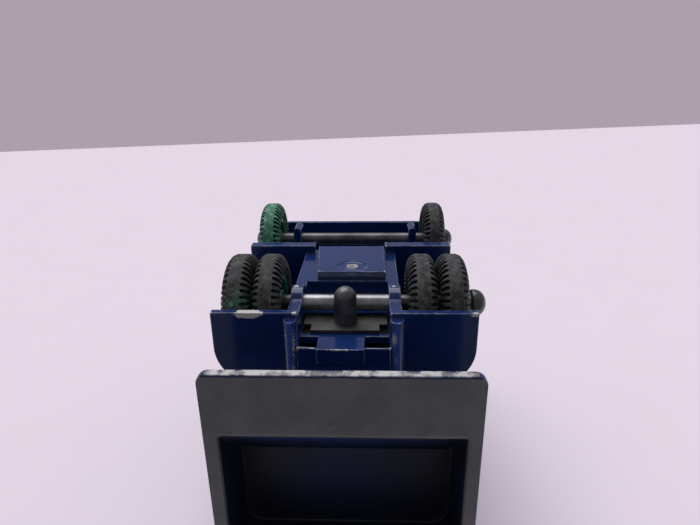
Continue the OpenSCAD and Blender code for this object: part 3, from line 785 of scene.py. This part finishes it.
# %% Castings
def bevelled(plain, name, width, segments):
    """A bmesh of the plain one with its weighted edges rounded and its flats filled again."""
    mesh = bpy.data.meshes.new(name)
    plain.to_mesh(mesh)
    maker = bpy.data.objects.new(name + "_maker", mesh)
    bpy.context.scene.collection.objects.link(maker)
    bevel = maker.modifiers.new("rounded edges", "BEVEL")
    bevel.width = width
    bevel.segments = segments
    bevel.limit_method = "WEIGHT"
    bevel.use_clamp_overlap = False
    bevel.loop_slide = False
    bevel.miter_outer = "MITER_ARC"
    rounded_piece = as_mesh(maker, name)
    body = bmesh.new()
    body.from_mesh(rounded_piece.data)
    bpy.data.objects.remove(rounded_piece)
    bmesh.ops.remove_doubles(body, verts=body.verts, dist=0.0005 * mm)
    body.normal_update()
    for normal, patch in list(flat_patches(body)):
        fill_again(body, normal, patch)
    body.normal_update()
    return body


def casting(node, name, material, edge_mm, segments=3):
    """The node's solid with rounded edges. Short edges where the rounding tangles are left sharp."""
    width = edge_mm * mm
    plain = bmesh.new()
    plain.from_mesh(frame["nodes"][node].data)
    bmesh.ops.remove_doubles(plain, verts=plain.verts, dist=0.03 * mm)
    bmesh.ops.dissolve_limit(plain, angle_limit=math.radians(0.6), verts=plain.verts, edges=plain.edges)
    share = plain.edges.layers.float.new("bevel_weight_edge")
    for edge in plain.edges:
        edge[share] = bevel_share(edge, width)
    body = bevelled(plain, name, width, segments)
    for spot in list(tangles(body)):
        for edge in plain.edges:
            if all((vert.co - spot).length < TANGLE_REACH for vert in edge.verts):
                edge[share] = 0.0
    body.free()
    body = bevelled(plain, name, width, segments)
    bmesh.ops.dissolve_limit(body, angle_limit=math.radians(0.1), verts=body.verts, edges=body.edges)
    for face in body.faces:
        face.smooth = True
    mesh = bpy.data.meshes.new(name)
    body.to_mesh(mesh)
    body.free()
    plain.free()
    mesh.materials.append(material)
    maker = bpy.data.objects.new(name + "_maker", mesh)
    bpy.context.scene.collection.objects.link(maker)
    weighted = maker.modifiers.new("flat faces", "WEIGHTED_NORMAL")
    weighted.keep_sharp = True
    piece = as_mesh(maker, name)
    settle(piece, node)
    print(name, "faces:", len(piece.data.polygons))
    return piece


# %% [markdown]
# The chassis has the tightest edges, and the skip, which is thicker, has rounder ones.

# %% Chassis, skip, bonnet, seat and keeper plate
casting("chassis", "chassis_casting", blue_paint, 0.15)
casting("skip", "skip_casting", skip_paint, 0.35)
casting("bonnet", "bonnet_casting", blue_paint, 0.15)
casting("seat", "seat_casting", blue_paint, 0.25)
casting("keeper_plate", "keeper_plate_steel", plate_steel, 0.10, segments=2)


# %% [markdown]
# ## Turned pieces
# The axles, stud, rivet, pin, column and hubs are all round, so each is one outline turned
# about an axis, as on a lathe. The outline's corners are rounded first. A helper spins the
# outline and closes it at the poles.

# %% Lathe helper
def rounded(points, radius, steps=4):
    """The outline with each inner corner replaced by a short curve."""
    path = [Vector(points[0])]
    for before, corner, after in zip(points, points[1:], points[2:]):
        corner = Vector(corner)
        back, on = Vector(before) - corner, Vector(after) - corner
        reach = min(radius, back.length / 2, on.length / 2)
        start, end = corner + back.normalized() * reach, corner + on.normalized() * reach
        for step in range(steps + 1):
            t = step / steps
            path.append(start * (1 - t) ** 2 + corner * 2 * t * (1 - t) + end * t * t)
    path.append(Vector(points[-1]))
    return path


def dome(along, radius, height, steps=10):
    """Points from the pole of a dome, at along, to its rim: (place on the axis, radius)."""
    turns = [math.pi / 2 * step / steps for step in range(steps + 1)]
    return [Vector((along + height * (1 - math.cos(turn)), radius * math.sin(turn))) for turn in turns]


def turned(name, outline, foot, axis, material, sides=64):
    """An outline of (along, radius) points in metres, spun round an axis that starts at foot."""
    body = bmesh.new()
    axis = Vector(axis).normalized()
    side = axis.orthogonal().normalized()
    spokes = [Matrix.Rotation(2 * math.pi * i / sides, 3, axis) @ side for i in range(sides)]
    rows = [[body.verts.new(Vector(foot) + axis * along + spoke * radius) for spoke in spokes]
            for along, radius in outline]
    for row, following in zip(rows, rows[1:]):
        for i in range(sides):
            j = (i + 1) % sides
            body.faces.new((row[i], row[j], following[j], following[i]))
    bmesh.ops.remove_doubles(body, verts=body.verts, dist=0.001 * mm)
    bmesh.ops.recalc_face_normals(body, faces=body.faces)
    for face in body.faces:
        face.smooth = True
    mesh = bpy.data.meshes.new(name)
    body.to_mesh(mesh)
    body.free()
    mesh.set_sharp_from_angle(angle=math.radians(50))
    mesh.materials.append(material)
    piece = bpy.data.objects.new(name, mesh)
    bpy.context.scene.collection.objects.link(piece)
    return piece


def middle(node):
    low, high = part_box(node)
    return (low + high) / 2


# %% [markdown]
# An axle is a plain rod with a domed head at each end. Half of its outline is drawn, and the
# other half is its mirror image.

# %% Axles
ROD_R = 1.7 * mm
HEAD_R = 2.75 * mm
HEAD_H = 3.0 * mm


def axle(node):
    low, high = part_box(node)
    length = high.x - low.x
    neck = [(HEAD_H - 0.5 * mm, HEAD_R), (HEAD_H, HEAD_R), (HEAD_H, ROD_R), (length / 2, ROD_R)]
    half = dome(0, HEAD_R, HEAD_H - 0.8 * mm) + rounded(neck, 0.25 * mm)
    outline = half + [Vector((length - p.x, p.y)) for p in reversed(half[:-1])]
    foot = (low.x, middle(node).y, middle(node).z)
    piece = turned(node + "_rod", outline, foot, (1, 0, 0), axle_steel[node])
    settle(piece, node)
    print(piece.name, "length in mm:", round(length / mm, 2))


for node in ("front_axle", "rear_axle"):
    axle(node)

# %% [markdown]
# The stud is a dome on a short rod that ends at the keeper plate. The rivet is a flat disc with a
# dimple and a ring spun into it, and the pin has a flat head at each end.

# %% Stud, rivet and pivot pin
stud_low, stud_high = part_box("keeper_stud")
stud_r = (stud_high.x - stud_low.x) / 2
plate_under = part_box("keeper_plate")[0].z
stud_h = plate_under - stud_low.z
stud_outline = dome(0, stud_r, stud_r) + [Vector((stud_h, stud_r)), Vector((stud_h, 0))]
stud_foot = (middle("keeper_stud").x, middle("keeper_stud").y, stud_low.z)
stud = turned("keeper_stud_domed", stud_outline, stud_foot, (0, 0, 1), bare_steel)
settle(stud, "keeper_stud")

rivet_r = (rivet_high.x - rivet_low.x) / 2
rivet_foot = (middle("sump_rivet").x, middle("sump_rivet").y, rivet_low.z)
rivet_outline = rounded([
    (1.1 * mm, 0), (0.9 * mm, 0.7 * mm), (0, 1.15 * mm), (0, 0.55 * rivet_r), (0.1 * mm, 0.62 * rivet_r),
    (0.1 * mm, 0.8 * rivet_r), (0, 0.86 * rivet_r), (0, rivet_r), (0.8 * mm, rivet_r), (0.8 * mm, 0),
], 0.15 * mm)
rivet = turned("sump_rivet_spun", rivet_outline, rivet_foot, (0, 0, 1), rivet_paint)
settle(rivet, "sump_rivet")

pin_low, pin_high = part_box("skip_pivot_pin")
pin_r, pin_head, pin_l = 1.0 * mm, 0.6 * mm, pin_high.x - pin_low.x
pin_head_r = (pin_high.z - pin_low.z) / 2
pin_half = [Vector((0, 0))] + rounded(
    [(0, 0.1 * mm), (0, pin_head_r), (pin_head, pin_head_r), (pin_head, pin_r), (pin_l / 2, pin_r)], 0.3 * mm)
pin_outline = pin_half + [Vector((pin_l - p.x, p.y)) for p in reversed(pin_half[:-1])]
pin_foot = (pin_low.x, middle("skip_pivot_pin").y, middle("skip_pivot_pin").z)
pin = turned("skip_pivot_pin_headed", pin_outline, pin_foot, (1, 0, 0), bare_steel)
settle(pin, "skip_pivot_pin")
print("turned:", stud.name, rivet.name, pin.name)

# %% [markdown]
# A hub is a boss, a thin web and a rim. Its outline runs down the outer face and back up the
# inner one, and the right-hand hubs are turned about the opposite axis.

# %% Hubs
WHEELS = ("front_left_outer", "front_left_inner", "front_right_inner", "front_right_outer",
          "rear_left", "rear_right")
HUB_BORE_R = 1.75 * mm
HUB_BOSS_R = 2.6 * mm
HUB_WEB = 0.7 * mm
HUB_FACE = 1.7 * mm
HUB_BACK = 2.0 * mm
HUB_RIM_T = 1.0 * mm
HUB_HALF = 2.1 * mm
for wheel in WHEELS:
    node = "hub_" + wheel
    low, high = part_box(node)
    rim_r = (high.z - low.z) / 2
    outward = 1 if "left" in wheel else -1
    well = rim_r - HUB_RIM_T
    face = [(HUB_FACE, HUB_BORE_R), (HUB_FACE, HUB_BOSS_R), (HUB_WEB, HUB_BOSS_R), (HUB_WEB, well),
            (HUB_HALF, well), (HUB_HALF, rim_r)]
    back = [(-HUB_HALF, rim_r), (-HUB_HALF, well), (-HUB_WEB, well), (-HUB_WEB, HUB_BOSS_R),
            (-HUB_BACK, HUB_BOSS_R), (-HUB_BACK, HUB_BORE_R), (HUB_FACE, HUB_BORE_R)]
    foot = (outward * abs(middle("tyre_" + wheel).x), middle(node).y, middle(node).z)
    hub = turned(node + "_cast", rounded(face + back, 0.22 * mm), foot, (outward, 0, 0), hub_paint)
    settle(hub, node)
print("hubs:", len(WHEELS))

# %% [markdown]
# ## Tyres
# Each tyre is a rubber ring with a plain band round the crown and a row of blocks along each
# shoulder, set half a pitch apart. Modelling one block and copying it by hand would work once,
# but the count and the sizes would be frozen. A Geometry Nodes tree sweeps the ring, sets the
# blocks on two circles and keeps every size as a named input.

# %% Tread block
TYRE_BLOCKS = 48
INNER_SHARE = 0.58
OUTER_SHARE = 0.34
BAND_HALF = 1.3 * mm
tyre_low, tyre_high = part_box("tyre_rear_left")
TYRE_R = (tyre_high.z - tyre_low.z) / 2
TYRE_HALF = (tyre_high.x - tyre_low.x) / 2
RIM_R = 5.8 * mm


def tread_block():
    """One shoulder block at the crown: +X points outwards along the radius and +Z towards the side."""
    section = [(-0.02 * mm, BAND_HALF - 0.15 * mm), (-0.30 * mm, TYRE_HALF - 1.05 * mm),
               (-0.95 * mm, TYRE_HALF - 0.50 * mm), (-1.9 * mm, TYRE_HALF - 0.16 * mm),
               (-2.8 * mm, TYRE_HALF), (-2.9 * mm, TYRE_HALF - 0.5 * mm), (-1.4 * mm, BAND_HALF)]
    pitch = 2 * math.pi * TYRE_R / TYRE_BLOCKS
    body = bmesh.new()

    def half(z):
        outward = (z - BAND_HALF) / (TYRE_HALF - BAND_HALF)
        return pitch / 2 * (INNER_SHARE + (OUTER_SHARE - INNER_SHARE) * min(max(outward, 0), 1))

    ends = [[body.verts.new((x, sign * half(z), z)) for x, z in section] for sign in (-1, 1)]
    body.faces.new(ends[0])
    body.faces.new(list(reversed(ends[1])))
    for i in range(len(section)):
        j = (i + 1) % len(section)
        body.faces.new((ends[0][j], ends[0][i], ends[1][i], ends[1][j]))
    bmesh.ops.recalc_face_normals(body, faces=body.faces)
    bmesh.ops.bevel(body, geom=list(body.edges), offset=0.07 * mm, segments=1, affect="EDGES")
    mesh = bpy.data.meshes.new("tread_block")
    body.to_mesh(mesh)
    body.free()
    return bpy.data.objects.new("tread_block", mesh)


# %% [markdown]
# The tree has two small builders inside it. One sweeps a rounded section round a circle, for the
# tyre's body and for the band on its crown. The other sets blocks on the points of a circle, and
# turns each one to face outwards. The second row is the first one flipped, half a pitch on.

# %% Tyre tree
TYRE_INPUTS = {
    "Crown radius": "Float", "Width": "Float", "Body share": "Float", "Bead radius": "Float",
    "Groove depth": "Float", "Shoulder": "Float", "Band width": "Float", "Blocks": "Int",
    "Block": "Object", "Centre": "Vector", "Finish": "Material",
}


def tyre_tree():
    tree = bpy.data.node_groups.new("Treaded tyre", "GeometryNodeTree")
    ids = {name: tree.interface.new_socket(name, in_out="INPUT", socket_type="NodeSocket" + kind).identifier
           for name, kind in TYRE_INPUTS.items()}
    tree.interface.new_socket("Geometry", in_out="OUTPUT", socket_type="NodeSocketGeometry")
    given = add(tree, "NodeGroupInput").outputs

    def ring(inner, outer, width, corner):
        height = calc(tree, "SUBTRACT", outer, inner)
        radius = calc(tree, "ADD", inner, calc(tree, "MULTIPLY", height, 0.5))
        path = add(tree, "GeometryNodeCurvePrimitiveCircle", {"Resolution": 96, "Radius": radius})
        section = add(tree, "GeometryNodeCurvePrimitiveQuadrilateral", {"Width": height, "Height": width})
        soft = add(tree, "GeometryNodeFilletCurve", {
            "Curve": section.outputs[0], "Count": 6, "Radius": corner, "Limit Radius": True}, mode="POLY")
        swept = add(tree, "GeometryNodeCurveToMesh", {
            "Curve": path.outputs[0], "Profile Curve": soft.outputs[0]})
        return add(tree, "GeometryNodeSetShadeSmooth", {"Geometry": swept.outputs[0]}).outputs[0]

    def row(flip):
        circle = add(tree, "GeometryNodeMeshCircle", {
            "Vertices": given["Blocks"], "Radius": given["Crown radius"]})
        step = calc(tree, "DIVIDE", 2 * math.pi, given["Blocks"])
        angle = calc(tree, "MULTIPLY", add(tree, "GeometryNodeInputIndex").outputs[0], step)
        turn = add(tree, "ShaderNodeCombineXYZ", {"X": math.pi * flip, "Z": angle})
        block = add(tree, "GeometryNodeObjectInfo", {"Object": given["Block"]})
        placed = add(tree, "GeometryNodeInstanceOnPoints", {
            "Points": circle.outputs[0], "Instance": block.outputs["Geometry"], "Rotation": turn.outputs[0]})
        half = add(tree, "ShaderNodeCombineXYZ", {"Z": calc(tree, "MULTIPLY", step, 0.5 * flip)})
        inputs = {"Geometry": placed.outputs[0], "Rotation": half.outputs[0]}
        return add(tree, "GeometryNodeTransform", inputs).outputs[0]

    crown = calc(tree, "SUBTRACT", given["Crown radius"], given["Groove depth"])
    body_width = calc(tree, "MULTIPLY", given["Width"], given["Body share"])
    carcass = ring(given["Bead radius"], crown, body_width, given["Shoulder"])
    band_root = calc(tree, "SUBTRACT", crown, given["Groove depth"])
    band = ring(band_root, given["Crown radius"], given["Band width"], 0.2 * mm)
    join = tree.nodes.new("GeometryNodeJoinGeometry")
    for part in (carcass, band, row(0), row(1)):
        tree.links.new(part, join.inputs[0])
    solid = add(tree, "GeometryNodeRealizeInstances", {"Geometry": join.outputs[0]})
    put = add(tree, "GeometryNodeTransform", {
        "Geometry": solid.outputs[0], "Rotation": (0, math.pi / 2, 0), "Translation": given["Centre"]})
    done = add(tree, "GeometryNodeSetMaterial", {"Geometry": put.outputs[0], "Material": given["Finish"]})
    add(tree, "NodeGroupOutput", {"Geometry": done.outputs[0]})
    return tree, ids


# %% [markdown]
# Each tyre is made by an empty object that carries the tree, and the result is kept as a plain
# mesh. The inputs are set by their identifiers, because two inputs may share a name.

# %% Tyres
tyre_nodes, tyre_ids = tyre_tree()
block = tread_block()
SPRAY = {
    "rear_left": (0.95, (22, 14, 2)),
    "front_left_outer": (0.48, (19, -31, 7)),
    "front_left_inner": (0.38, (17, -30, 8)),
}
NO_SPRAY = (0.3, (0, 0, 0))
TYRE_SIZES = {
    "Crown radius": TYRE_R, "Width": 2 * TYRE_HALF, "Body share": 0.87, "Bead radius": RIM_R,
    "Groove depth": 1.0 * mm, "Shoulder": 1.7 * mm, "Band width": 2 * BAND_HALF, "Blocks": TYRE_BLOCKS,
}
for seed, wheel in enumerate(WHEELS):
    node = "tyre_" + wheel
    spray, aimed_at = SPRAY.get(wheel, NO_SPRAY)
    rubber = tyre_rubber("tyre_rubber_" + wheel, 40.0 + seed, spray, Vector(aimed_at) * mm)
    maker = bpy.data.objects.new(node + "_maker", bpy.data.meshes.new(node))
    bpy.context.scene.collection.objects.link(maker)
    nodes = maker.modifiers.new("tyre", "NODES")
    nodes.node_group = tyre_nodes
    own = {"Block": block, "Centre": middle(node), "Finish": rubber}
    for name, value in {**TYRE_SIZES, **own}.items():
        nodes[tyre_ids[name]] = value
    tyre = as_mesh(maker, node + "_treaded")
    settle(tyre, node)
    print(tyre.name, "faces:", len(tyre.data.polygons))
bpy.data.objects.remove(block)

# %% [markdown]
# ## Steering
# The driver's wheel is a ring on three spokes, standing on a leaning column. The joint in the
# record gives its centre and its axis, so both pieces are built along that line.

# %% Steering column and wheel
steer_at = Vector(joints["steering_turn"]["pos_m"])
steer_axis = Vector(joints["steering_turn"]["axis"]).normalized()
COLUMN_R = 0.85 * mm
COLUMN_L = 14.0 * mm
COLUMN_SUNK = 1.2 * mm
column_foot = steer_at - steer_axis * COLUMN_L
column_outline = rounded([
    (-COLUMN_SUNK, 0), (-COLUMN_SUNK, COLUMN_R), (COLUMN_L, COLUMN_R), (COLUMN_L, 0),
], 0.2 * mm)
column = turned("steering_column_rod", column_outline, column_foot, steer_axis, bare_steel, sides=32)
settle(column, "steering_column")
print(column.name, "length in mm:", round((COLUMN_L + COLUMN_SUNK) / mm, 1))
casting("steering_wheel", "steering_wheel_cast", black_paint, 0.10, segments=2)
